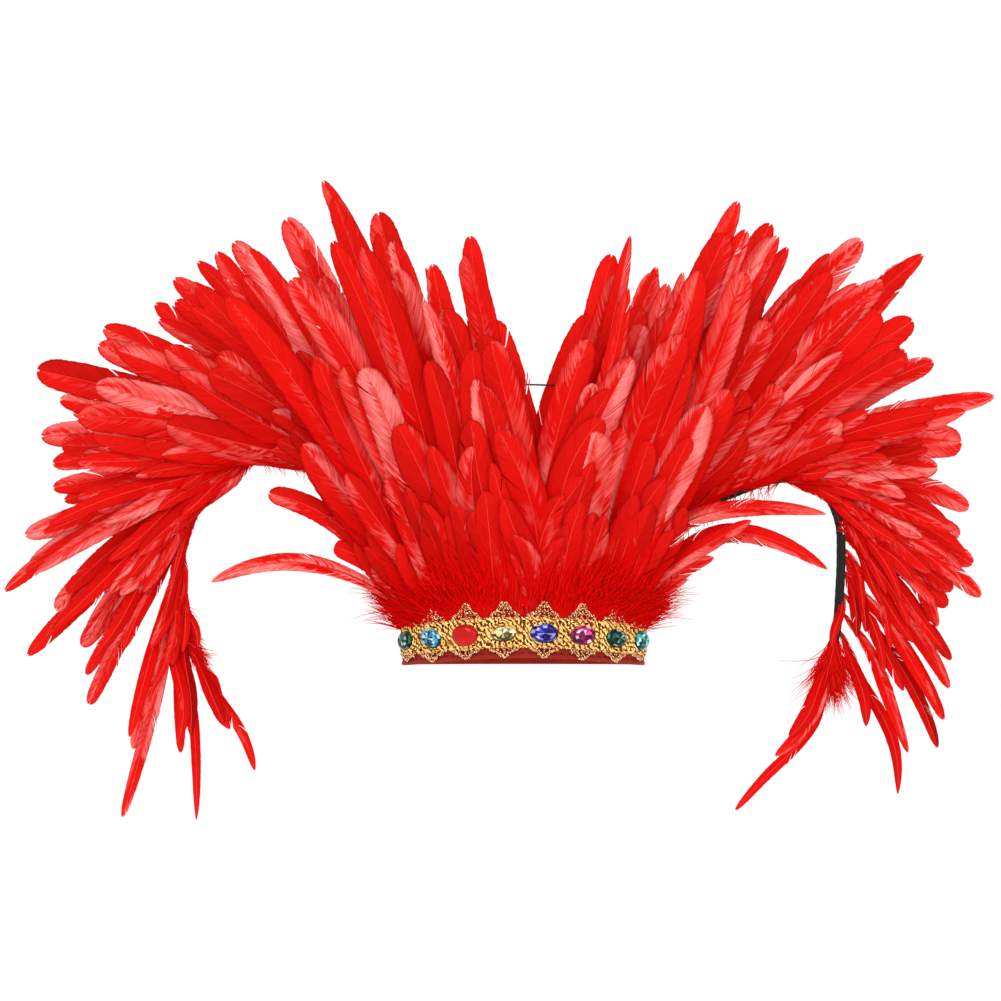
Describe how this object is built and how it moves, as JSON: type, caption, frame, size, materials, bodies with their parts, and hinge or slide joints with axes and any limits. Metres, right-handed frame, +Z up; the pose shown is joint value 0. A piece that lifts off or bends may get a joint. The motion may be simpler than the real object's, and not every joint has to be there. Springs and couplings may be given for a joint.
{
  "type": "feather headdress",
  "caption": "Carnival feather headdress: an oval cloth headband with gold lace and set stones, a tall crown of dyed plumes and two plumed wings that arch out and down on taped wires.",
  "frame": {"origin": "middle of the head opening, level with the headband's lower edge at its sides", "axes": "+X to the right as seen from the front, +Y from the front to the back, +Z up"},
  "size_m": [0.677, 0.1958, 0.42],
  "materials": {
    "band_cloth": "plain woven cloth",
    "gold_lace": "metallic gold gimp",
    "dyed_feather": "dyed feather barbs",
    "black_tape": "wound cloth tape",
    "dark_thread": "twisted thread",
    "stone_green_left": "polished acrylic",
    "stone_light_blue": "polished acrylic",
    "stone_red": "polished acrylic",
    "stone_champagne": "polished acrylic",
    "stone_violet_blue": "polished acrylic",
    "stone_pink": "polished acrylic",
    "stone_green_right": "polished acrylic",
    "stone_turquoise": "polished acrylic"
  },
  "bodies": {
    "root": {"headband": "band_cloth", "gold_lace_trim": "gold_lace", "stone_green_left": "stone_green_left", "stone_light_blue": "stone_light_blue", "stone_red": "stone_red", "stone_champagne": "stone_champagne", "stone_violet_blue": "stone_violet_blue", "stone_pink": "stone_pink", "stone_green_right": "stone_green_right", "stone_turquoise": "stone_turquoise", "left_wing_wire": "black_tape", "right_wing_wire": "black_tape", "left_side_plumes": "dyed_feather", "left_crown_back_row": "dyed_feather", "left_wing_inner_back_row": "dyed_feather", "left_wing_crest_back_row": "dyed_feather", "left_wing_droop_back_row": "dyed_feather", "left_crown_front_row": "dyed_feather", "left_wing_inner_front_row": "dyed_feather", "left_wing_crest_front_row": "dyed_feather", "left_wing_droop_front_row": "dyed_feather", "right_side_plumes": "dyed_feather", "right_crown_back_row": "dyed_feather", "right_wing_inner_back_row": "dyed_feather", "right_wing_crest_back_row": "dyed_feather", "right_wing_droop_back_row": "dyed_feather", "right_crown_front_row": "dyed_feather", "right_wing_inner_front_row": "dyed_feather", "right_wing_crest_front_row": "dyed_feather", "right_wing_droop_front_row": "dyed_feather", "brace_thread": "dark_thread"}
  },
  "joints": []
}
